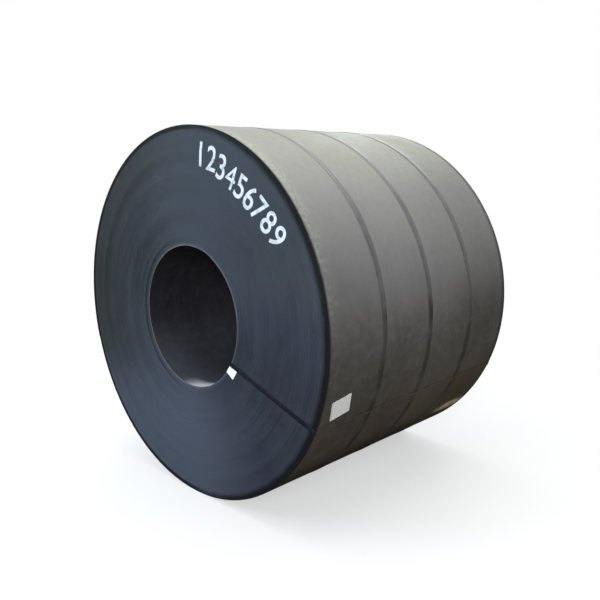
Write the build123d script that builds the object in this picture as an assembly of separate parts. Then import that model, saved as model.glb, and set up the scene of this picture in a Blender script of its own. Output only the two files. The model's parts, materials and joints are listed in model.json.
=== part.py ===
from build123d import *
import math
import os

# A coil of hot-rolled steel strip lying on its side, with its bore along Y.
# One long strip is wound on itself. Three steel hoop straps go round the outside, one eye strap
# goes through the bore and round the wall, and each strap is closed by a crimped seal.
# Millimetres. The origin is on the floor, under the middle of the coil. The front end, which has
# the tag, faces -Y. Angles are in degrees, from +X towards +Z, as seen from the front.

# Strip
bore_diameter = 610.0
strip_width = 1250.0
strip_gauge = 2.75
wraps = 180
wraps_per_lap = 18  # the wraps that wander together, and show as one turn on the ends
wander = 1.2  # how far a lap is shifted sideways, at the most
wander_step = 2.4  # radians of the wander's wave from one lap to the next

# Free ends of the strip: each leaves a step of one gauge, which runs out along the winding
tail_angle = 196.0
head_angle = 62.0
run_out = 40.0

# Hoop straps, at equal spacing along the strip's width
hoop_count = 3
hoop_width = 32.0
hoop_thickness = 1.0
hoop_seal_angle = 141.0
hoop_lap_past_seal = 30.0

# Eye strap: where it leaves the bore and where it goes over the rim. Its seal is on the rear end
eye_width = 19.0
eye_thickness = 0.8
eye_bore_angle = -31.0
eye_rim_angle = -23.7
eye_seal_from_rim = 180.0
eye_lap_past_seal = 22.0

# Seals: a sleeve round two thicknesses of strap, notched by the crimping tool
seal_wall = 1.0
seal_length = 57.0
seal_play = 0.1
crimp_radius = 3.2
crimp_depth = 2.4
crimp_spacing = 24.0

# Label on the outside and tag on the front end, of plain white card stuck to the strip
label_length = 105.0
label_height = 85.0
label_thickness = 0.3
label_corner = 3.0
label_from_end = 105.0
label_angle = -17.6
label_turn = 10.0
tag_side = 46.0
tag_thickness = 0.4
tag_angle = -35.2

seat_gap = 0.3  # between a strap, seal or card and what it lies on

bore_radius = bore_diameter / 2
outer_radius = bore_radius + wraps * strip_gauge
lap_count = wraps // wraps_per_lap
lap_thickness = (outer_radius - bore_radius) / lap_count
half_width = strip_width / 2
axis_height = outer_radius + seat_gap + hoop_thickness


def polar(radius, angle):
    """A point of the XZ plane, as (x, z)."""
    return radius * math.cos(math.radians(angle)), radius * math.sin(math.radians(angle))


def radial_plane(radius, angle, along=0.0):
    """A plane that touches a cylinder round Y: local x runs along +Y and local z points outwards."""
    x, z = polar(radius, angle)
    out_x, out_z = polar(1.0, angle)
    return Plane(origin=(x, along, z), x_dir=(0, 1, 0), z_dir=(out_x, 0, out_z))


def lap_shift(lap):
    """How far a lap lies towards +Y. Both its edges move, because the strip has one width."""
    return wander * math.sin(wander_step * lap)


def lap_profile():
    """Half of the coil's section through its axis: each lap is one strip width, at its own shift."""
    front, rear = [], []
    for lap in range(lap_count):
        inner = bore_radius + lap * lap_thickness
        for radius in (inner, inner + lap_thickness):
            front.append((radius, lap_shift(lap) - half_width))
            rear.append((radius, lap_shift(lap) + half_width))
    return make_face(Polyline(*front, *reversed(rear), close=True))


def run_out_cut(wall, angle, depth):
    """A crescent beside a free end of the strip, as deep as the strip at angle and gone after run_out.

    A positive depth cuts into the outside of a wall at that radius, and a negative one into a bore.
    """
    clear = wall + depth
    end = angle + run_out
    middle = angle + run_out / 2
    floor = ThreePointArc(polar(wall - depth, angle), polar(wall - depth / 2, middle), polar(wall, end))
    back = ThreePointArc(polar(clear, end), polar(clear, middle), polar(clear, angle))
    outline = [floor, Line(floor @ 1, back @ 0), back, Line(back @ 1, floor @ 0)]
    return extrude(Plane.XZ * make_face(outline), strip_width, both=True)


def wound_coil():
    """The strip, wound on itself: a turned solid with its bore, and the steps at its two free ends."""
    coil = revolve(lap_profile(), axis=Axis.Y)
    coil -= run_out_cut(outer_radius, tail_angle, strip_gauge)
    coil -= run_out_cut(bore_radius, head_angle, -strip_gauge)
    return coil


def sector(inner, outer, angle, arc_length, width):
    """A stretch of ring round Y, arc_length long at its inner radius and width wide along Y."""
    span = math.degrees(arc_length / inner)
    low = CenterArc((0, 0), inner, angle - span / 2, span)
    high = CenterArc((0, 0), outer, angle - span / 2, span)
    face = make_face([low, high, Line(low @ 0, high @ 0), Line(low @ 1, high @ 1)])
    return extrude(Plane.XZ * face, width / 2, both=True)


def hoop_station(number):
    return half_width * (2 * (number + 1) / (hoop_count + 1) - 1)


def hoop_strap(number):
    """A band pulled tight round the coil, with its end lapped over its start under the seal."""
    inner = outer_radius + seat_gap
    outer = inner + hoop_thickness
    ring = extrude(Plane.XZ * (Circle(outer) - Circle(inner)), hoop_width / 2, both=True)
    lap_length = seal_length + 2 * hoop_lap_past_seal
    ring += sector(outer, outer + hoop_thickness, hoop_seal_angle, lap_length, hoop_width)
    return Pos(0, hoop_station(number), 0) * ring


def crimps(width, reach):
    """The notches that the crimping tool leaves in a seal's two sides, as solids along local z."""
    across = width / 2 + crimp_radius - crimp_depth
    spots = [(x, y) for x in (-crimp_spacing / 2, crimp_spacing / 2) for y in (-across, across)]
    return [Pos(x, y, 0) * Cylinder(crimp_radius, reach) for x, y in spots]


def hoop_seal(number):
    """A sleeve over the lapped band, whose sides come down beside it to the strip."""
    inner = outer_radius + seat_gap
    top = inner + 2 * hoop_thickness + seal_play
    channel = hoop_width + 2 * seal_play
    width = channel + 2 * seal_wall
    seal = sector(inner, top + seal_wall, hoop_seal_angle, seal_length, width)
    seal -= sector(inner - seal_wall, top, hoop_seal_angle, 2 * seal_length, channel)
    lengthwise = radial_plane(inner, hoop_seal_angle) * Rot(0, 0, 90)
    for crimp in crimps(width, 8 * seal_wall):
        seal -= lengthwise * crimp
    return Pos(0, hoop_station(number), 0) * seal


# The eye strap's line across both ends, in the XZ plane, and how far out its underside lies
eye_start = polar(bore_radius, eye_bore_angle)
eye_end = polar(outer_radius, eye_rim_angle)
eye_slope = math.atan2(eye_end[1] - eye_start[1], eye_end[0] - eye_start[0])
eye_along = (math.cos(eye_slope), 0, math.sin(eye_slope))
eye_face = half_width + wander + seat_gap


def eye_plane(distance_from_rim=0.0):
    """Local x runs out along the strap on the rear end, and local z points away from the coil."""
    x = eye_end[0] - distance_from_rim * eye_along[0]
    z = eye_end[1] - distance_from_rim * eye_along[2]
    return Plane(origin=(x, eye_face, z), x_dir=eye_along, z_dir=(0, 1, 0))


def eye_section():
    """The eye strap's path round the coil's wall, in a plane through the axis. It bridges the hoops."""
    bore = bore_radius - seat_gap
    rim = outer_radius + seat_gap
    over_hoops = rim + hoop_thickness + seat_gap
    last_hoop = hoop_station(hoop_count - 1) + hoop_width / 2
    front = [(bore, -eye_face), (rim, -eye_face), (over_hoops, -last_hoop)]
    rear = [(over_hoops, last_hoop), (rim, eye_face), (bore, eye_face)]
    wall = make_face(Polyline(*front, *rear, close=True))
    return offset(wall, eye_thickness) - wall


def eye_strap():
    """A band through the bore and round the wall. It follows the curve of the bore and the outside."""
    margin = 20.0
    start = -max(eye_bore_angle, eye_rim_angle) - margin
    sweep = abs(eye_bore_angle - eye_rim_angle) + 2 * margin
    shell = revolve(Rot(0, start, 0) * eye_section(), axis=Axis.Y, revolution_arc=sweep)
    slab = eye_plane() * Box(4 * outer_radius, eye_width, 4 * strip_width)
    lap_length = seal_length + 2 * eye_lap_past_seal
    lap = Pos(0, 0, 1.5 * eye_thickness) * Box(lap_length, eye_width, eye_thickness)
    return (shell & slab) + eye_plane(eye_seal_from_rim) * lap


def eye_seal():
    """The eye strap's sleeve, on the rear end near the rim."""
    top = 2 * eye_thickness + seal_play
    channel = eye_width + 2 * seal_play
    width = channel + 2 * seal_wall
    height = top + seal_wall
    seal = Pos(0, 0, height / 2) * Box(seal_length, width, height)
    seal -= Pos(0, 0, top / 2) * Box(2 * seal_length, channel, top)
    for crimp in crimps(width, 8 * seal_wall):
        seal -= crimp
    return eye_plane(eye_seal_from_rim) * seal


def label():
    """A flat stiff card, glued at its middle to the outside of the coil, a little askew."""
    plane = radial_plane(outer_radius + seat_gap, label_angle, label_from_end - half_width)
    outline = RectangleRounded(label_length, label_height, label_corner)
    return extrude(plane * Rot(0, 0, label_turn) * outline, label_thickness)


def eye_tag():
    """A small square card at the bore's edge, with one corner tucked under the eye strap."""
    x, z = polar(bore_radius + tag_side / 2, tag_angle)
    out_x, out_z = polar(1.0, tag_angle)
    seat = half_width - lap_shift(0) + seat_gap
    plane = Plane(origin=(x, -seat, z), x_dir=(out_x, 0, out_z), z_dir=(0, -1, 0))
    return extrude(plane * RectangleRounded(tag_side, tag_side, label_corner), tag_thickness)


def all_pieces():
    pieces = {"wound_strip": wound_coil()}
    for number in range(hoop_count):
        pieces[f"hoop_strap_{number + 1}"] = hoop_strap(number)
        pieces[f"hoop_seal_{number + 1}"] = hoop_seal(number)
    pieces["eye_strap"] = eye_strap()
    pieces["eye_seal"] = eye_seal()
    pieces["label"] = label()
    pieces["eye_tag"] = eye_tag()
    return pieces


os.makedirs("parts", exist_ok=True)
for name, piece in all_pieces().items():
    export_step(Pos(0, 0, axis_height) * piece, f"parts/{name}.step")
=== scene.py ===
import json
import math

import bpy
from mathutils import Matrix, Vector

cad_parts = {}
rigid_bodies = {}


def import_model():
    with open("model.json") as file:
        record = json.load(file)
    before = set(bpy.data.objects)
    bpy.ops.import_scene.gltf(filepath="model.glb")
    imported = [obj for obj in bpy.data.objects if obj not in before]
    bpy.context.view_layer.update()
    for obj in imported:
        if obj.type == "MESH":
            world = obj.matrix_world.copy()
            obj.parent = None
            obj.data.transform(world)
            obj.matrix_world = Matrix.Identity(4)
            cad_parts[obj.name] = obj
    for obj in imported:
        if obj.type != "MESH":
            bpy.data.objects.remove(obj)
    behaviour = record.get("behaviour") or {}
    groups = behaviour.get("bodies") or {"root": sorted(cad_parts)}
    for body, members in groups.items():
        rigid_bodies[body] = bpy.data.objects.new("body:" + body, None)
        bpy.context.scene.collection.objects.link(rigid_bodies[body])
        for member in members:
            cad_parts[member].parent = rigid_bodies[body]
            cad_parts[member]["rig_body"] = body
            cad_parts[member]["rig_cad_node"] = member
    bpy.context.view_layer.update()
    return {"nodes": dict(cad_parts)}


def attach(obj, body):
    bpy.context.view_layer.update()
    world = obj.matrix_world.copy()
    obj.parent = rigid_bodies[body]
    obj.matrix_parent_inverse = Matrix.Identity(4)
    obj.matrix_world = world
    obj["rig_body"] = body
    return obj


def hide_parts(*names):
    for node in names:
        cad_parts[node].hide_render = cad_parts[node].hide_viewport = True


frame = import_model()


# The camera stands in front of the coil and to its right, a little above the bore, and looks
# slightly down on it. Its place and lens were fitted to the coil's outlines in the photograph.
camera_place = (2.3415, -2.3696, 1.437)
camera_turn = (math.radians(78.96), 0.0, math.radians(44.04))
bpy.ops.object.camera_add(location=camera_place, rotation=camera_turn)
camera = bpy.context.object
camera.data.lens = 41.323
camera.data.sensor_width = 36.0
bpy.context.scene.camera = camera


# The studio: a plain pale floor that fades into a white background, a wide soft light overhead, a
# key light beside the camera, and weaker ones at the left and behind. The floor shows only a faint
# shadow, and sends only a little warm light back to the coil.
bpy.context.scene.view_settings.view_transform = "Standard"


def put(tree, kind, inputs=None, **settings):
    """Adds a node. An input is a value, or the output socket of another node to be joined to it."""
    node = tree.nodes.new(kind)
    for name, value in settings.items():
        setattr(node, name, value)
    for name, value in (inputs or {}).items():
        if isinstance(value, bpy.types.NodeSocket):
            tree.links.new(value, node.inputs[name])
        else:
            node.inputs[name].default_value = value
    return node


def reckon(tree, operation, first, second=0.0):
    """Adds a Math node and gives its result."""
    return put(tree, "ShaderNodeMath", {0: first, 1: second}, operation=operation).outputs[0]


def times(tree, first, *others):
    """Multiplies two or more numbers."""
    for other in others:
        first = reckon(tree, "MULTIPLY", first, other)
    return first


def reckon_vector(tree, operation, first, second=(0.0, 0.0, 0.0)):
    """Adds a Vector Math node and gives its result, a number where the operation measures."""
    node = put(tree, "ShaderNodeVectorMath", {0: first, 1: second}, operation=operation)
    measures = operation in ("LENGTH", "DISTANCE", "DOT_PRODUCT")
    return node.outputs["Value" if measures else "Vector"]


def spread(tree, value, low, high, to_low=0.0, to_high=1.0):
    """Gives value's place between low and high, from to_low to to_high, softened at both ends."""
    inputs = {"Value": value, "From Min": low, "From Max": high, "To Min": to_low, "To Max": to_high}
    return put(tree, "ShaderNodeMapRange", inputs, interpolation_type="SMOOTHSTEP").outputs[0]


def toward(tree, base, share, colour):
    """Blends base towards a plain colour by share. Plain colours are written without an alpha."""
    start = (*base, 1.0) if isinstance(base, tuple) else base
    inputs = {0: share, 6: start, 7: (*colour, 1.0)}
    return put(tree, "ShaderNodeMix", inputs, data_type="RGBA").outputs[2]


def studio_light(name, place, width, length, power, colour):
    """A soft light of that size at place, turned towards the middle of the coil."""
    turn = (Vector((0.0, 0.0, 0.8)) - Vector(place)).to_track_quat("-Z", "Y").to_euler()
    bpy.ops.object.light_add(type="AREA", location=place, rotation=turn)
    light = bpy.context.object
    light.name = name
    light.data.shape = "RECTANGLE"
    light.data.size = width
    light.data.size_y = length
    light.data.energy = power
    light.data.color = colour


studio_light("light_overhead", (-0.2, 0.0, 5.2), 4.5, 4.5, 100.0, (1.0, 0.985, 0.94))
studio_light("light_key", (4.0, -4.8, 2.4), 2.4, 2.4, 310.0, (0.97, 0.985, 1.0))
studio_light("light_left", (-3.6, -4.6, 3.0), 3.0, 2.5, 170.0, (0.7, 0.84, 1.0))
studio_light("light_rear", (-2.0, 5.2, 3.2), 3.0, 2.5, 60.0, (0.9, 0.95, 1.0))

# The camera sees white, and the coil is lit by a gradient that is brightest above and behind it
world = bpy.data.worlds.new("studio_white")
bpy.context.scene.world = world
world.use_nodes = True
tree = world.node_tree
tree.nodes.clear()
seen = put(tree, "ShaderNodeBackground", {"Color": (1.0, 1.0, 1.0, 1.0), "Strength": 1.0})
way = put(tree, "ShaderNodeTexCoord").outputs["Generated"]
facing = reckon_vector(tree, "DOT_PRODUCT", way, (-0.55, 0.45, 0.7))
limits = {"From Min": -0.4, "From Max": 0.75, "To Min": 0.04, "To Max": 0.9}
gradient = put(tree, "ShaderNodeMapRange", {"Value": facing, **limits}).outputs[0]
ambient = put(tree, "ShaderNodeBackground", {"Color": (0.96, 0.98, 1.0, 1.0), "Strength": gradient})
to_camera = put(tree, "ShaderNodeLightPath").outputs["Is Camera Ray"]
chosen = put(tree, "ShaderNodeMixShader", {0: to_camera, 1: ambient.outputs[0], 2: seen.outputs[0]})
put(tree, "ShaderNodeOutputWorld", {"Surface": chosen.outputs[0]})

bpy.ops.mesh.primitive_plane_add(size=40.0, location=(0.0, 0.0, 0.0))
floor = bpy.context.object
floor.name = "floor"
paint = bpy.data.materials.new("pale_floor")
paint.use_nodes = True
tree = paint.node_tree
tree.nodes.clear()
from_coil = reckon_vector(tree, "LENGTH", put(tree, "ShaderNodeTexCoord").outputs["Object"])
far = spread(tree, from_coil, 1.2, 3.2, 0.5, 1.0)
lit = put(tree, "ShaderNodeBsdfDiffuse", {"Color": (0.93, 0.93, 0.93, 1.0)})
glow = put(tree, "ShaderNodeEmission", {"Color": (1.0, 1.0, 1.0, 1.0), "Strength": 1.0})
shown = put(tree, "ShaderNodeMixShader", {0: far, 1: lit.outputs[0], 2: glow.outputs[0]})
bounce = put(tree, "ShaderNodeBsdfDiffuse", {"Color": (0.09, 0.08, 0.06, 1.0)})
to_camera = put(tree, "ShaderNodeLightPath").outputs["Is Camera Ray"]
chosen = put(tree, "ShaderNodeMixShader", {0: to_camera, 1: bounce.outputs[0], 2: shown.outputs[0]})
put(tree, "ShaderNodeOutputMaterial", {"Surface": chosen.outputs[0]})
floor.data.materials.append(paint)


# The strip: hot-rolled steel, 2.75 mm thick and 1.25 m wide, wound on itself 180 times round a
# 610 mm bore. Each wrap has wandered a little sideways, so the ends show every turn as a fine
# ring. The strip's two free ends leave a step outside and in the bore that runs out along the turn.
axis_height = 0.8013
bore_radius = 0.305
gauge = 0.00275
wraps = 180
wraps_per_lap = 18
strip_width = 1.25
wander = 0.0012
wander_step = 2.4
own_wander = 0.00014
ring_steps = 120
tail_angle = 196.0
head_angle = 62.0
run_out = 40.0
outer_radius = bore_radius + wraps * gauge


def wrap_shift(number):
    """How far a wrap lies towards +Y. Each lap of wraps drifts over to its own shift, which is the
    solid's, and each wrap is a little off it.
    """
    lap = number // wraps_per_lap
    drift = (number % wraps_per_lap + 1) / wraps_per_lap
    drift = drift * drift * (3 - 2 * drift)
    before = wander * math.sin(wander_step * max(0, lap - 1))
    own = own_wander * (1 + math.sin(1.9 * number + 3 * math.sin(0.37 * number)))
    return before + (wander * math.sin(wander_step * lap) - before) * drift + own


def on_coil(radius, angle, along):
    """A point at that radius from the coil's axis. Angles go from +X towards +Z."""
    turn = math.radians(angle)
    return Vector((radius * math.cos(turn), along, axis_height + radius * math.sin(turn)))


def outwards(angle, length=1.0):
    """A step of that length straight away from the axis."""
    return on_coil(length, angle, 0.0) - on_coil(0.0, angle, 0.0)


def pick(*pieces):
    """Selects just these pieces, in object mode. The first becomes the active one."""
    if bpy.context.object and bpy.context.object.mode == "EDIT":
        bpy.ops.object.mode_set(mode="OBJECT")
    bpy.ops.object.select_all(action="DESELECT")
    for piece in pieces:
        piece.select_set(True)
    if pieces:
        bpy.context.view_layer.objects.active = pieces[0]


def start_line(name, point):
    """Begins a drawn line: a plane shrunk to one vertex at point, left selected in edit mode."""
    pick()
    bpy.ops.mesh.primitive_plane_add(size=0.01)
    piece = bpy.context.object
    piece.name = name
    piece.data.name = name
    bpy.ops.object.mode_set(mode="EDIT")
    bpy.ops.mesh.select_all(action="SELECT")
    bpy.ops.mesh.merge(type="CENTER")
    bpy.ops.transform.translate(value=point)
    return piece


def draw_to(step):
    """Draws the line on from its last vertex."""
    bpy.ops.mesh.extrude_region_move(TRANSFORM_OT_translate={"value": step})


def join_ends():
    """Makes the drawn line a closed loop, and leaves it selected."""
    bpy.ops.mesh.select_all(action="SELECT")
    bpy.ops.mesh.edge_face_add()
    bpy.ops.mesh.delete(type="ONLY_FACE")
    bpy.ops.mesh.select_all(action="SELECT")


def spin_round(angle, steps):
    """Spins what is selected round the coil's axis, from where it is towards larger angles."""
    centre = (0.0, 0.0, axis_height)
    bpy.ops.mesh.spin(steps=steps, angle=math.radians(angle), center=centre, axis=(0.0, 1.0, 0.0))


def fill_and_face(sides=0):
    """Fills the open ends and turns the faces outwards. Ends in object mode."""
    bpy.ops.mesh.select_all(action="SELECT")
    bpy.ops.mesh.fill_holes(sides=sides)
    bpy.ops.mesh.select_all(action="SELECT")
    bpy.ops.mesh.normals_make_consistent(inside=False)
    bpy.ops.object.mode_set(mode="OBJECT")


def close_up():
    """Merges the seam of a full turn, fills open ends and turns the faces outwards."""
    bpy.ops.mesh.select_all(action="SELECT")
    bpy.ops.mesh.remove_doubles(threshold=0.00001)
    fill_and_face()


def draw_wrap_edges(first, last, along, start_angle):
    """Draws the edges of the wraps on one end, from the bore outwards, as a line of small steps."""
    out = outwards(start_angle)
    start = on_coil(bore_radius + first * gauge, start_angle, along + wrap_shift(first))
    piece = start_line("wound_turns", start)
    for number in range(first, last + 1):
        draw_to(out * gauge)
        if number < last:
            draw_to((0.0, wrap_shift(number + 1) - wrap_shift(number), 0.0))
    return piece


# All wraps but the first and the last, which have the free ends: both lines of edges are drawn,
# joined at the bore and at the outside, and spun round
coil = draw_wrap_edges(1, wraps - 2, -strip_width / 2, tail_angle)
bpy.ops.mesh.select_all(action="SELECT")
bpy.ops.mesh.duplicate_move(TRANSFORM_OT_translate={"value": (0.0, strip_width, 0.0)})
bpy.ops.object.mode_set(mode="OBJECT")
from_axis = sorted(coil.data.vertices, key=lambda v: (v.co - on_coil(0.0, 0.0, v.co.y)).length)
from_axis = [vertex.index for vertex in from_axis]
for pair in (from_axis[:2], from_axis[-2:]):
    bpy.ops.object.mode_set(mode="EDIT")
    bpy.ops.mesh.select_all(action="DESELECT")
    bpy.ops.object.mode_set(mode="OBJECT")
    for index in pair:
        coil.data.vertices[index].select = True
    bpy.ops.object.mode_set(mode="EDIT")
    bpy.ops.mesh.edge_face_add()
    bpy.ops.object.mode_set(mode="OBJECT")
bpy.ops.object.mode_set(mode="EDIT")
bpy.ops.mesh.select_all(action="SELECT")
spin_round(360.0, ring_steps)
close_up()


def free_wrap(number, angle, thin_side):
    """The first or last wrap. Its free end is at angle, and beyond it the wrap thins away."""
    sweep = 359.95
    thinnest = 0.00004
    inner = bore_radius + number * gauge
    along = wrap_shift(number) - strip_width / 2
    out = outwards(angle, gauge)
    wrap = start_line("free_wrap", on_coil(inner, angle, along))
    section = (out, (0.0, strip_width, 0.0), -out)
    for step in section:
        draw_to(step)
    join_ends()
    spin_round(sweep, ring_steps)
    bpy.ops.object.mode_set(mode="OBJECT")
    fixed = inner if thin_side > 0 else inner + gauge
    run_out_columns = ring_steps * run_out / 360.0
    for vertex in wrap.data.vertices:
        column = vertex.index // (len(section) + 1)
        axis_point = on_coil(0.0, 0.0, vertex.co.y)
        spoke = vertex.co - axis_point
        moves = abs(spoke.length - fixed) > gauge / 2
        if moves and column < run_out_columns:
            thickness = max(thinnest, gauge * column / run_out_columns)
            vertex.co = axis_point + spoke.normalized() * (fixed + thin_side * thickness)
    bpy.ops.object.mode_set(mode="EDIT")
    fill_and_face(sides=4)
    return wrap


outside_wrap = free_wrap(wraps - 1, tail_angle, 1.0)
bore_wrap = free_wrap(0, head_angle, -1.0)
pick(coil, outside_wrap, bore_wrap)
bpy.ops.object.join()


def axis_place(tree):
    """Object coordinates, measured from the coil's axis."""
    place = put(tree, "ShaderNodeTexCoord").outputs["Object"]
    return reckon_vector(tree, "ADD", place, (0.0, 0.0, -axis_height))


def spoke_and_radius(tree, place):
    """The way from the axis to a place, and how far it is."""
    across = reckon_vector(tree, "MULTIPLY", place, (1.0, 0.0, 1.0))
    return reckon_vector(tree, "NORMALIZE", across), reckon_vector(tree, "LENGTH", across)


def noise(tree, vector, scale, detail=2.0, roughness=0.5, distortion=0.0):
    """A noise's value at vector."""
    inputs = {"Vector": vector, "Scale": scale, "Detail": detail}
    inputs.update({"Roughness": roughness, "Distortion": distortion})
    return put(tree, "ShaderNodeTexNoise", inputs).outputs[0]


def stretched(tree, vector, factors):
    """Multiplies a vector, so that a noise on it is finer where the factor is large."""
    return reckon_vector(tree, "MULTIPLY", vector, factors)


def through_wraps(tree, radius):
    """How many wraps lie inside a radius, how far it is through its own, and a mask of the joints."""
    count = reckon(tree, "DIVIDE", reckon(tree, "SUBTRACT", radius, bore_radius), gauge)
    part = reckon(tree, "FRACT", count)
    from_joint = reckon(tree, "MINIMUM", part, reckon(tree, "SUBTRACT", 1.0, part))
    return reckon(tree, "FLOOR", count), part, spread(tree, from_joint, 0.02, 0.2, 1.0, 0.0)


def new_group(name, *more):
    """Begins a node group that puts out Colour, Roughness, Height and the values that more names."""
    group = bpy.data.node_groups.new(name, "ShaderNodeTree")
    group.interface.new_socket(name="Colour", in_out="OUTPUT", socket_type="NodeSocketColor")
    for output in ("Roughness", "Height", *more):
        group.interface.new_socket(name=output, in_out="OUTPUT", socket_type="NodeSocketFloat")
    return group, group.nodes.new("NodeGroupOutput")


def give(tree, result, **outputs):
    """Joins a group's results to its outputs."""
    for name, value in outputs.items():
        tree.links.new(value, result.inputs[name])


def wrap_edges_group():
    """The wraps' edges: fine rings, soft blotches, a painted shadow beside a painted highlight where
    a wrap has come loose near the bore, and rubbed outermost wraps with painted shade along the rim.
    A painted reflection makes them paler low down, painted shade makes them darker at the upper left,
    and they are greyer towards the left rim."""
    loose_radius = 0.334
    highlight_radius = loose_radius + 0.015
    tree, result = new_group("wrap_edges")
    place = axis_place(tree)
    spoke, radius = spoke_and_radius(tree, place)
    sides = put(tree, "ShaderNodeSeparateXYZ", {0: place}).outputs
    whole, part, joint = through_wraps(tree, radius)
    wide = stretched(tree, spoke, (0.9, 0.9, 0.9))
    ring_key = put(tree, "ShaderNodeCombineXYZ", {"Y": times(tree, whole, 0.73)}).outputs[0]
    ring_tone = noise(tree, reckon_vector(tree, "ADD", wide, ring_key), 1.0, 1.0)
    band_key = put(tree, "ShaderNodeCombineXYZ", {"Y": times(tree, radius, 30.0)}).outputs[0]
    band_tone = noise(tree, reckon_vector(tree, "ADD", wide, band_key), 1.0, 3.0, 0.6)
    blotch = noise(tree, place, 3.1, 4.0, 0.55, 0.4)
    speckle = noise(tree, place, 160.0, 3.0, 0.6)
    scuff = noise(tree, place, 22.0, 5.0, 0.65)
    sideways = reckon(tree, "ADD", sides["X"], times(tree, noise(tree, place, 1.3, 2.0), 0.3))

    left = spread(tree, sideways, 0.35, -0.35)
    base = toward(tree, (0.054, 0.062, 0.1), left, (0.055, 0.068, 0.084))
    base = toward(tree, base, spread(tree, sides["Z"], -0.1, 0.35, 0.0, 0.8), (0.057, 0.071, 0.086))
    base = toward(tree, base, spread(tree, blotch, 0.35, 0.7, 0.0, 0.5), (0.075, 0.092, 0.115))
    # Painted reflection: paler and bluer low down, except towards the right side
    low = times(tree, spread(tree, sides["Z"], -0.12, -0.5), spread(tree, sideways, 0.65, 0.15))
    base = toward(tree, base, times(tree, low, 0.9), (0.12, 0.143, 0.202))
    # Painted shade: darker at the upper left
    upper = spread(tree, sides["Z"], -0.05, 0.3, 0.0, 0.42)
    upper_left_painted_shade = times(tree, spread(tree, sideways, 0.0, -0.3), upper)
    base = toward(tree, base, upper_left_painted_shade, (0.026, 0.028, 0.042))
    outer_left = times(tree, left, spread(tree, radius, 0.5, 0.76))
    grey = times(tree, outer_left, spread(tree, sides["Z"], -0.6, 0.0, 0.0, 0.95))
    base = toward(tree, base, grey, (0.048, 0.053, 0.051))

    base = toward(tree, base, spread(tree, ring_tone, 0.3, 0.7, 0.0, 0.2), (0.11, 0.13, 0.155))
    base = toward(tree, base, spread(tree, band_tone, 0.45, 0.75, 0.0, 0.08), (0.034, 0.042, 0.056))
    base = toward(tree, base, spread(tree, speckle, 0.6, 0.8, 0.0, 0.2), (0.15, 0.17, 0.18))
    base = toward(tree, base, times(tree, joint, 0.4), (0.01, 0.012, 0.016))
    at_bore = spread(tree, radius, 0.3195, 0.3065)
    inner_rub = times(tree, at_bore, spread(tree, ring_tone, 0.25, 0.6, 0.35, 1.0))
    base = toward(tree, base, times(tree, inner_rub, 0.75), (0.19, 0.2, 0.225))

    # Where a wrap has come loose near the bore: a painted shadow in the gap and a painted highlight
    # on the wrap's edge beside it, on the left side only
    leftmost = spread(tree, sides["X"], 0.0, -0.25, 0.1, 1.0)
    gap_painted_shadow = (loose_radius, 0.7, (0.014, 0.017, 0.026))
    edge_painted_highlight = (highlight_radius, 0.4, (0.12, 0.13, 0.15))
    for line_radius, share, colour in (gap_painted_shadow, edge_painted_highlight):
        from_line = reckon(tree, "ABSOLUTE", reckon(tree, "SUBTRACT", radius, line_radius))
        line = times(tree, spread(tree, from_line, 0.008, 0.001), leftmost)
        base = toward(tree, base, times(tree, line, share), colour)

    rim_wear = times(tree, spread(tree, radius, 0.73, 0.775), spread(tree, scuff, 0.52, 0.68))
    base = toward(tree, base, times(tree, rim_wear, 0.25), (0.13, 0.155, 0.145))
    # Painted shade along the rim: a ragged dark band at the outermost wraps, wider on the right, and
    # a thin dark outline on the left
    ragged = reckon(tree, "ADD", radius, times(tree, scuff, 0.02))
    ragged = reckon(tree, "ADD", ragged, spread(tree, sides["X"], -0.1, 0.6, -0.008, 0.01))
    left_rim_shade = times(tree, spread(tree, radius, 0.777, 0.785), spread(tree, sides["X"], 0.25, -0.05))
    rim_painted_shade = reckon(tree, "MAXIMUM", spread(tree, ragged, 0.775, 0.805), left_rim_shade)
    base = toward(tree, base, times(tree, rim_painted_shade, 0.9), (0.004, 0.005, 0.005))

    patchy = spread(tree, blotch, 0.3, 0.7, 0.44, 0.58)
    rough = reckon(tree, "ADD", patchy, spread(tree, ring_tone, 0.3, 0.7, 0.0, 0.1))
    off_centre = reckon(tree, "ABSOLUTE", times(tree, reckon(tree, "SUBTRACT", part, 0.5), 2.0))
    crown = reckon(tree, "SUBTRACT", 1.0, reckon(tree, "POWER", off_centre, 2.0))
    height = reckon(tree, "ADD", crown, times(tree, speckle, 0.15))
    give(tree, result, Colour=base, Roughness=rough, Height=height)
    return tree


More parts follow.
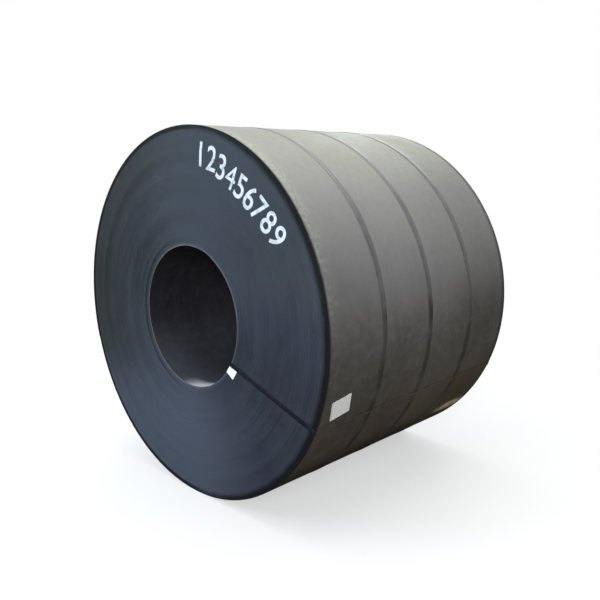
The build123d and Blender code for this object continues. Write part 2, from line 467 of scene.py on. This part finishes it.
def mill_scale_group():
    """The strip's rolled face on the outside: warm grey scale with streaks along the turns, rubbed
    patches by the two rims, painted shade along both rims, painted light on the top, painted shade
    lower down and towards the rear, a brown and olive stain low down that is partly a painted
    reflection of the ground, a painted dark underside, and one pale painted glint low at the rear."""
    tree, result = new_group("mill_scale", "Metallic")
    place = axis_place(tree)
    sides = put(tree, "ShaderNodeSeparateXYZ", {0: place}).outputs
    along = sides["Y"]
    high = sides["Z"]
    streak = noise(tree, stretched(tree, place, (0.9, 11.0, 0.9)), 1.0, 3.0, 0.5)
    fine = noise(tree, stretched(tree, place, (2.6, 150.0, 2.6)), 1.0, 2.0, 0.5)
    cloud = noise(tree, place, 2.2, 4.0, 0.6, 0.6)
    mottle = noise(tree, place, 30.0, 5.0, 0.65)
    grain = noise(tree, place, 60.0, 5.0, 0.6)

    base = toward(tree, (0.333, 0.324, 0.327), spread(tree, cloud, 0.3, 0.7), (0.408, 0.397, 0.397))
    base = toward(tree, base, spread(tree, streak, 0.45, 0.72, 0.0, 0.25), (0.26, 0.257, 0.26))
    base = toward(tree, base, spread(tree, fine, 0.6, 0.8, 0.0, 0.16), (0.5, 0.495, 0.48))
    base = toward(tree, base, spread(tree, mottle, 0.5, 0.75, 0.0, 0.2), (0.28, 0.28, 0.272))
    # Painted light: lighter, and warmer towards the top
    base = toward(tree, base, spread(tree, high, 0.2, 0.45, 0.0, 0.6), (0.44, 0.435, 0.42))
    painted_top_light = times(tree, spread(tree, high, 0.45, 0.72), spread(tree, cloud, 0.35, 0.65, 0.6, 1.0))
    base = toward(tree, base, painted_top_light, (0.36, 0.365, 0.3))
    # Painted shade towards the rear, where the light falls off. The front end is a little darker too.
    base = toward(tree, base, spread(tree, along, -0.1, 0.55, 0.0, 0.36), (0.22, 0.218, 0.19))
    base = toward(tree, base, spread(tree, along, -0.15, -0.5, 0.0, 0.3), (0.275, 0.27, 0.27))

    from_front = reckon(tree, "ADD", along, strip_width / 2)
    from_rear = reckon(tree, "SUBTRACT", strip_width / 2, along)
    rear_rim = spread(tree, from_rear, 0.06, 0.02, 0.0, 0.5)
    near_rim = reckon(tree, "MAXIMUM", spread(tree, from_front, 0.08, 0.015), rear_rim)
    rubbed = times(tree, near_rim, spread(tree, grain, 0.42, 0.66))
    rubbed = times(tree, rubbed, spread(tree, high, 0.0, 0.25, 0.1, 1.0))
    base = toward(tree, base, times(tree, rubbed, 0.5), (0.56, 0.62, 0.53))
    # Painted shade: a dark line along both rims, wider at the rear
    rear_rim_shade = spread(tree, from_rear, 0.04, 0.004)
    edge = reckon(tree, "MAXIMUM", spread(tree, from_front, 0.012, 0.002), rear_rim_shade)
    base = toward(tree, base, times(tree, edge, 0.75), (0.05, 0.052, 0.05))

    # Painted shade: darker lower down
    shade = spread(tree, high, 0.22, -0.3)
    base = toward(tree, base, times(tree, shade, 0.3), (0.19, 0.18, 0.185))
    # A brown and olive stain low down, partly a painted reflection of the brown ground
    low = times(tree, spread(tree, high, -0.12, -0.4), spread(tree, cloud, 0.3, 0.6, 0.6, 1.0))
    base = toward(tree, base, times(tree, low, 0.6), (0.25, 0.195, 0.15))
    olive = times(tree, spread(tree, high, -0.25, -0.45), spread(tree, along, 0.1, 0.4))
    olive = times(tree, olive, spread(tree, mottle, 0.35, 0.6, 0.3, 0.8))
    base = toward(tree, base, olive, (0.17, 0.15, 0.06))
    # Painted shade: nearly black on the underside
    base = toward(tree, base, spread(tree, high, -0.45, -0.65, 0.0, 0.9), (0.035, 0.03, 0.026))

    # Painted glint: a pale, less metallic patch low at the rear, broken up by the mottle
    glint_squeeze = 0.36
    patch = on_coil(outer_radius, -42.0, 0.5)
    glint_middle = (patch.x, glint_squeeze * patch.y, patch.z - axis_height)
    squeezed = stretched(tree, place, (1.0, glint_squeeze, 1.0))
    from_glint = reckon_vector(tree, "DISTANCE", squeezed, glint_middle)
    glint_break_up = spread(tree, mottle, 0.36, 0.52, 0.3, 1.0)
    painted_glint = times(tree, spread(tree, from_glint, 0.06, 0.02), glint_break_up)
    base = toward(tree, base, painted_glint, (1.0, 0.94, 0.74))
    metallic = reckon(tree, "SUBTRACT", 0.98, times(tree, painted_glint, 0.8))

    cloudy = spread(tree, cloud, 0.3, 0.7, 0.5, 0.58)
    rough = reckon(tree, "ADD", cloudy, spread(tree, mottle, 0.4, 0.7, -0.04, 0.06))
    height = reckon(tree, "ADD", times(tree, fine, 0.25), times(tree, grain, 0.12))
    give(tree, result, Colour=base, Roughness=rough, Height=height, Metallic=metallic)
    return tree


def bore_scale_group():
    """The strip's face in the bore: the same scale, darker, with streaks along the turn, paler low
    down near the mouth with dust and painted light, and a painted pool of light at the bottom of the
    mouth."""
    tree, result = new_group("bore_scale")
    place = axis_place(tree)
    sides = put(tree, "ShaderNodeSeparateXYZ", {0: place}).outputs
    streak = noise(tree, stretched(tree, place, (2.0, 16.0, 2.0)), 1.0, 3.0, 0.5)
    mottle = noise(tree, place, 28.0, 4.0, 0.6)
    base = toward(tree, (0.038, 0.037, 0.047), spread(tree, streak, 0.35, 0.7), (0.03, 0.029, 0.036))
    base = toward(tree, base, spread(tree, mottle, 0.5, 0.72, 0.0, 0.3), (0.062, 0.059, 0.064))
    from_front = reckon(tree, "ADD", sides["Y"], strip_width / 2)
    # Paler low down and towards the mouth: dust, and painted light falling in at the mouth
    dust_and_light = spread(tree, from_front, 0.25, 0.05, 0.35, 0.7)
    low = times(tree, spread(tree, sides["Z"], 0.0, -0.28), dust_and_light)
    base = toward(tree, base, low, (0.108, 0.12, 0.145))
    # Painted pool of light at the bottom of the mouth
    mouth = spread(tree, from_front, 0.09, 0.03)
    painted_light_pool = times(tree, mouth, spread(tree, sides["Z"], -0.22, -0.29))
    painted_light_pool = times(tree, painted_light_pool, spread(tree, sides["X"], -0.09, 0.06))
    base = toward(tree, base, painted_light_pool, (0.95, 1.0, 1.0))
    rough = spread(tree, mottle, 0.3, 0.7, 0.42, 0.6)
    height = reckon(tree, "ADD", streak, times(tree, mottle, 0.4))
    give(tree, result, Colour=base, Roughness=rough, Height=height)
    return tree


def finish_from(group, name, distance, strength, metallic=None, specular=0.5):
    """A material whose colour, roughness and bump come from a group. The bump has that distance and
    strength. The metallic value is the group's own where none is given."""
    material = bpy.data.materials.new(name)
    material.use_nodes = True
    tree = material.node_tree
    shader = tree.nodes["Principled BSDF"]
    made = put(tree, "ShaderNodeGroup", node_tree=group)
    inputs = {"Height": made.outputs["Height"], "Distance": distance, "Strength": strength}
    bump = put(tree, "ShaderNodeBump", inputs)
    tree.links.new(made.outputs["Colour"], shader.inputs["Base Color"])
    tree.links.new(made.outputs["Roughness"], shader.inputs["Roughness"])
    tree.links.new(bump.outputs[0], shader.inputs["Normal"])
    if metallic is None:
        tree.links.new(made.outputs["Metallic"], shader.inputs["Metallic"])
    else:
        shader.inputs["Metallic"].default_value = metallic
    shader.inputs["Specular IOR Level"].default_value = specular
    return material


edges_finish = finish_from(wrap_edges_group(), "wrap_edges", 0.0006, 1.0, metallic=0.75)
skin_finish = finish_from(mill_scale_group(), "mill_scale", 0.0006, 0.5)
bore_finish = finish_from(bore_scale_group(), "bore_scale", 0.0006, 0.5, metallic=0.5, specular=0.25)
coil.data.materials.clear()
for finish in (edges_finish, skin_finish, bore_finish):
    coil.data.materials.append(finish)

# Of the faces that don't look along the axis, the outermost are the skin and the innermost the bore
skin_depth = 1.2 * gauge
for face in coil.data.polygons:
    radius = math.hypot(face.center.x, face.center.z - axis_height)
    face.material_index = 0
    if abs(face.normal.y) < 0.5 and radius > outer_radius - skin_depth:
        face.material_index = 1
    elif abs(face.normal.y) < 0.5 and radius < bore_radius + skin_depth:
        face.material_index = 2
pick(coil)
bpy.ops.object.shade_smooth_by_angle(angle=math.radians(30))
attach(coil, "root")
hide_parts("wound_strip")


# Three hoop straps of blued steel band, 32 by 1 mm, pulled tight round the outside. One is
# modelled, with its free end lapped over its start, and copied to the three stations.
seat_gap = 0.0003
hoop_width = 0.032
hoop_thickness = 0.001
hoop_inner = outer_radius + seat_gap
hoop_lap_angle = 141.0
hoop_lap_length = 0.117
hoop_spacing = 0.3125
hoop_stations = (-hoop_spacing, 0.0, hoop_spacing)


def band_ring(name, inner, start_angle, sweep, steps):
    """A band of the hoop's section with softened edges, spun round the coil's axis at y = 0."""
    out = outwards(start_angle)
    soft = 0.00025
    band = start_line(name, on_coil(inner + soft, start_angle, -hoop_width / 2))
    draw_to(out * (hoop_thickness - 2 * soft))
    draw_to(out * soft + Vector((0.0, soft, 0.0)))
    draw_to((0.0, hoop_width - 2 * soft, 0.0))
    draw_to(-out * soft + Vector((0.0, soft, 0.0)))
    draw_to(-out * (hoop_thickness - 2 * soft))
    draw_to(-out * soft + Vector((0.0, -soft, 0.0)))
    draw_to((0.0, -hoop_width + 2 * soft, 0.0))
    join_ends()
    spin_round(sweep, steps)
    close_up()
    return band


def blued_steel_group():
    """Dark blued strapping: faint rolling lines, rubbed bright specks, painted light over the front
    half of each band that leaves a painted shade line at the rear edge, and painted shade on the
    underside."""
    tree, result = new_group("blued_steel")
    place = axis_place(tree)
    sides = put(tree, "ShaderNodeSeparateXYZ", {0: place}).outputs
    line = noise(tree, stretched(tree, place, (3.0, 420.0, 3.0)), 1.0, 2.0, 0.6)
    patch = noise(tree, place, 9.0, 4.0, 0.6)
    speck = noise(tree, place, 140.0, 3.0, 0.6)
    base = toward(tree, (0.2, 0.196, 0.196), spread(tree, patch, 0.35, 0.7), (0.275, 0.27, 0.268))
    base = toward(tree, base, spread(tree, line, 0.45, 0.7, 0.0, 0.3), (0.13, 0.13, 0.136))
    base = toward(tree, base, spread(tree, speck, 0.6, 0.75, 0.0, 0.5), (0.4, 0.39, 0.38))
    station = reckon(tree, "DIVIDE", sides["Y"], hoop_spacing)
    off_station = reckon(tree, "SUBTRACT", station, reckon(tree, "ROUND", station))
    # Painted light on each band's front half, which leaves a painted shade line along its rear edge
    front_half_painted_light = spread(tree, off_station, 0.02, -0.05, 0.0, 0.3)
    base = toward(tree, base, front_half_painted_light, (0.365, 0.36, 0.355))
    # Painted shade: darker on the underside
    base = toward(tree, base, spread(tree, sides["Z"], 0.2, -0.35, 0.0, 0.2), (0.07, 0.065, 0.058))
    rough = spread(tree, patch, 0.3, 0.7, 0.34, 0.52)
    give(tree, result, Colour=base, Roughness=rough, Height=reckon(tree, "ADD", line, speck))
    return tree


blued_steel = blued_steel_group()
strap_finish = finish_from(blued_steel, "blued_strap", 0.0001, 0.4, metallic=0.95)
lap_sweep = math.degrees(hoop_lap_length / (hoop_inner + hoop_thickness))
hoop = band_ring("hoop_band_1", hoop_inner, tail_angle, 360.0, ring_steps)
lap_start = hoop_lap_angle - lap_sweep / 2
lap = band_ring("hoop_lap", hoop_inner + hoop_thickness, lap_start, lap_sweep, steps=8)
pick(hoop, lap)
bpy.ops.object.join()
bpy.ops.object.shade_smooth_by_angle(angle=math.radians(50))
hoop.data.materials.clear()
hoop.data.materials.append(strap_finish)
hoops = [hoop]
for number in (2, 3):
    twin = hoop.copy()
    twin.data = hoop.data.copy()
    twin.name = f"hoop_band_{number}"
    bpy.context.scene.collection.objects.link(twin)
    hoops.append(twin)
for number, station in enumerate(hoop_stations):
    hoops[number].data.transform(Matrix.Translation((0.0, station, 0.0)))
    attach(hoops[number], "root")
    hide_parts(f"hoop_strap_{number + 1}")


# The crimped seals, three on the hoops and one on the eye strap, and the eye strap itself: the
# solids' own shapes, merged, with their sharp edges broken as on rolled and sheared steel.
def softened_copy(node, name, width, finish):
    """A copy of a node with its loose triangles merged and its edges bevelled, which replaces it."""
    source = frame["nodes"][node]
    piece = source.copy()
    piece.data = source.data.copy()
    piece.name = name
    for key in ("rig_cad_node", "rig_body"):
        del piece[key]
    piece.parent = None
    bpy.context.scene.collection.objects.link(piece)
    pick(piece)
    bpy.ops.object.mode_set(mode="EDIT")
    bpy.ops.mesh.select_all(action="SELECT")
    bpy.ops.mesh.remove_doubles(threshold=0.00002)
    bpy.ops.mesh.dissolve_limited(angle_limit=math.radians(0.6))
    bpy.ops.object.mode_set(mode="OBJECT")
    bevel = piece.modifiers.new("broken_edges", "BEVEL")
    bevel.width = width
    bevel.segments = 2
    bevel.limit_method = "ANGLE"
    bevel.angle_limit = math.radians(40)
    bpy.ops.object.modifier_apply(modifier=bevel.name)
    bpy.ops.object.shade_smooth_by_angle(angle=math.radians(35))
    piece.data.materials.clear()
    piece.data.materials.append(finish)
    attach(piece, "root")
    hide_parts(node)
    return piece


seal_finish = finish_from(blued_steel, "dark_seal", 0.0001, 0.4, metallic=0.9)
for number in (1, 2, 3):
    softened_copy(f"hoop_seal_{number}", f"crimped_seal_{number}", 0.0002, seal_finish)
softened_copy("eye_seal", "eye_crimped_seal", 0.0002, seal_finish)


def black_steel_group():
    """The eye strap's black lacquer, with fine scratches across it and rubbed specks."""
    tree, result = new_group("black_steel")
    place = axis_place(tree)
    patch = noise(tree, place, 11.0, 4.0, 0.6)
    speck = noise(tree, place, 150.0, 3.0, 0.6)
    scratch = noise(tree, stretched(tree, place, (40.0, 40.0, 260.0)), 1.0, 3.0, 0.7)
    base = toward(tree, (0.008, 0.01, 0.018), spread(tree, patch, 0.35, 0.7), (0.018, 0.02, 0.03))
    base = toward(tree, base, spread(tree, scratch, 0.6, 0.72, 0.0, 0.3), (0.06, 0.065, 0.08))
    base = toward(tree, base, spread(tree, speck, 0.6, 0.75, 0.0, 0.5), (0.12, 0.125, 0.14))
    rough = spread(tree, patch, 0.3, 0.7, 0.5, 0.62)
    give(tree, result, Colour=base, Roughness=rough, Height=speck)
    return tree


# The strap's run over the outside is rubbed and dusty, with the look of the scale under it
black_steel = black_steel_group()
eye_finish = finish_from(black_steel, "eye_strap", 0.0001, 0.4, metallic=0.3, specular=0.15)
eye_band = softened_copy("eye_strap", "eye_band", 0.00015, eye_finish)
eye_band.data.materials.append(skin_finish)
for face in eye_band.data.polygons:
    spoke = Vector((face.center.x, 0.0, face.center.z - axis_height))
    if spoke.length > outer_radius and face.normal.dot(spoke.normalized()) > 0.99:
        face.material_index = 1


# The label, a stiff white card glued to the outside by its middle, and the small square tag that
# is tucked under the eye strap at the bore's edge. The label has only plain ruled lines.
label_length = 0.105
label_height = 0.085
label_thickness = 0.0003
label_from_end = 0.105
label_angle = -17.6
label_turn = 10.0
tag_side = 0.046
tag_thickness = 0.0004
tag_angle = -35.2
card_corner = 0.003


def card_group(name, ruled):
    """White coated card with a little dirt. A ruled one has a faint grey print of nine rows, and a
    tan band down its left edge."""
    tree, result = new_group(name)
    place = put(tree, "ShaderNodeTexCoord").outputs["Object"]
    dirt = noise(tree, place, 30.0, 4.0, 0.6)
    dirty = spread(tree, dirt, 0.5, 0.75, 0.0, 0.3)
    base = toward(tree, (0.93, 0.93, 0.92), dirty, (0.74, 0.72, 0.68))
    if ruled:
        sheet = put(tree, "ShaderNodeUVMap", uv_map="print").outputs[0]
        across, up = put(tree, "ShaderNodeSeparateXYZ", {0: sheet}).outputs[:2]
        row = reckon(tree, "FRACT", times(tree, up, 9.0))
        from_line = reckon(tree, "ABSOLUTE", reckon(tree, "SUBTRACT", row, 0.5))
        line = spread(tree, from_line, 0.08, 0.2, 1.0, 0.0)
        for way, middle, half in ((across, 0.54, 0.38), (up, 0.5, 0.42)):
            from_middle = reckon(tree, "ABSOLUTE", reckon(tree, "SUBTRACT", way, middle))
            line = times(tree, line, reckon(tree, "LESS_THAN", from_middle, half))
        base = toward(tree, base, times(tree, line, 0.25), (0.3, 0.31, 0.33))
        column = reckon(tree, "LESS_THAN", across, 0.1)
        base = toward(tree, base, times(tree, column, 0.6), (0.75, 0.66, 0.5))
    fibre = noise(tree, place, 900.0, 2.0)
    rough = spread(tree, dirt, 0.3, 0.7, 0.4, 0.6)
    give(tree, result, Colour=base, Roughness=rough, Height=fibre)
    return tree


def card(name, length, height, thickness, place, finish):
    """A card with rounded corners, cut from a plane, given its thickness and set in its place."""
    pick()
    bpy.ops.mesh.primitive_plane_add(size=1.0)
    piece = bpy.context.object
    piece.name = name
    piece.data.name = name
    piece.data.uv_layers[0].name = "print"
    piece.data.transform(Matrix.Diagonal((length, height, 1.0, 1.0)))
    bpy.ops.object.mode_set(mode="EDIT")
    bpy.ops.mesh.select_all(action="SELECT")
    bpy.ops.mesh.bevel(offset=card_corner, segments=4, affect="VERTICES")
    bpy.ops.object.mode_set(mode="OBJECT")
    body = piece.modifiers.new("thickness", "SOLIDIFY")
    body.thickness = thickness
    body.offset = 1.0
    bpy.ops.object.modifier_apply(modifier=body.name)
    piece.data.transform(place)
    piece.data.materials.append(finish)
    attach(piece, "root")
    return piece


def seat_matrix(origin, x_way, z_way):
    """Takes a shape drawn at the world's origin to a seat, with its x and z along those ways."""
    x_way = Vector(x_way).normalized()
    z_way = Vector(z_way).normalized()
    y_way = z_way.cross(x_way)
    turn = Matrix((x_way, y_way, z_way)).transposed().to_4x4()
    return Matrix.Translation(origin) @ turn


label_spot = on_coil(outer_radius + seat_gap, label_angle, label_from_end - strip_width / 2)
label_seat = seat_matrix(label_spot, (0.0, 1.0, 0.0), outwards(label_angle))
label_place = label_seat @ Matrix.Rotation(math.radians(label_turn), 4, "Z")
label_finish = finish_from(card_group("ruled_card", True), "ruled_card", 0.00002, 0.5, metallic=0.0)
label = card("coil_label", label_length, label_height, label_thickness, label_place, label_finish)
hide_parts("label")

tag_spot = on_coil(bore_radius + tag_side / 2, tag_angle, -strip_width / 2 - seat_gap)
tag_place = seat_matrix(tag_spot, outwards(tag_angle), (0.0, -1.0, 0.0))
tag_finish = finish_from(card_group("plain_card", False), "plain_card", 0.00002, 0.5, metallic=0.0)
tag = card("bore_tag", tag_side, tag_side, tag_thickness, tag_place, tag_finish)
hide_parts("eye_tag")


# The number painted on the front end by hand, in thick white strokes: plain figures from 1 to 9
# that follow the turns. The paint lies on the wraps' own steps, a quarter of a millimetre thick.
figure_height = 0.102
height_in_font = 0.73  # of the font's size
figure_narrowing = 0.92
figure_depth = 0.012
stroke_swell = 0.0012
figure_angles = (81.5, 75.6, 70.0, 64.4, 58.6, 52.8, 47.0, 41.2, 35.2)
figure_radii = (0.689, 0.684, 0.67, 0.658, 0.652, 0.649, 0.65, 0.655, 0.661)
paint_thickness = 0.00025
first_wrap = 104
last_wrap = 160
bed_start = 26.0
bed_sweep = 66.0
bed_steps = 22
bed_depth = 0.01

bed = draw_wrap_edges(first_wrap, last_wrap, -strip_width / 2 - paint_thickness, bed_start)
draw_to((0.0, bed_depth, 0.0))
draw_to(-outwards(bed_start, gauge) * (last_wrap - first_wrap + 1))
join_ends()
spin_round(bed_sweep, bed_steps)
close_up()

figures = []
for number, angle in enumerate(figure_angles):
    pick()
    bpy.ops.object.text_add()
    text = bpy.context.object
    text.data.body = str(number + 1)
    text.data.align_x = "CENTER"
    text.data.align_y = "CENTER"
    text.data.size = figure_height / height_in_font
    text.data.offset = 0.0 if text.data.body == "4" else stroke_swell  # the 4's middle would fill
    text.data.extrude = figure_depth
    text.data.resolution_u = 4
    bpy.ops.object.convert(target="MESH")
    text = bpy.context.object
    corners = [Vector(corner) for corner in text.bound_box]
    text.data.transform(Matrix.Translation(-sum(corners, Vector()) / len(corners)))
    x_way = outwards(angle).cross(Vector((0.0, -1.0, 0.0)))
    spot = on_coil(figure_radii[number], angle, -strip_width / 2)
    place = seat_matrix(spot, x_way, (0.0, -1.0, 0.0))
    text.data.transform(place @ Matrix.Diagonal((figure_narrowing, 1.0, 1.0, 1.0)))
    figures.append(text)
pick(*figures)
bpy.ops.object.join()
number_paint = bpy.context.object
number_paint.name = "painted_number"
number_paint.data.name = "painted_number"
bpy.ops.object.mode_set(mode="EDIT")
bpy.ops.mesh.select_all(action="SELECT")
bpy.ops.mesh.remove_doubles(threshold=0.00002)
bpy.ops.mesh.normals_make_consistent(inside=False)
bpy.ops.object.mode_set(mode="OBJECT")
cut = number_paint.modifiers.new("on_wraps", "BOOLEAN")
cut.operation = "INTERSECT"
cut.solver = "EXACT"
cut.object = bed
bpy.ops.object.modifier_apply(modifier=cut.name)
bpy.data.objects.remove(bed)


def paint_group():
    """White paint brushed over the wraps' edges: thin on the joints between them, with specks."""
    tree, result = new_group("white_paint")
    place = axis_place(tree)
    joint = through_wraps(tree, spoke_and_radius(tree, place)[1])[2]
    patch = noise(tree, place, 45.0, 4.0, 0.65)
    thin = spread(tree, patch, 0.42, 0.68, 0.0, 0.75)
    base = toward(tree, (0.76, 0.84, 0.92), thin, (0.3, 0.36, 0.43))
    base = toward(tree, base, times(tree, joint, 0.35), (0.25, 0.29, 0.35))
    rough = spread(tree, patch, 0.3, 0.7, 0.5, 0.7)
    give(tree, result, Colour=base, Roughness=rough, Height=patch)
    return tree


number_paint.data.materials.clear()
paint_finish = finish_from(paint_group(), "white_paint", 0.0003, 0.6, metallic=0.0)
number_paint.data.materials.append(paint_finish)
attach(number_paint, "root")
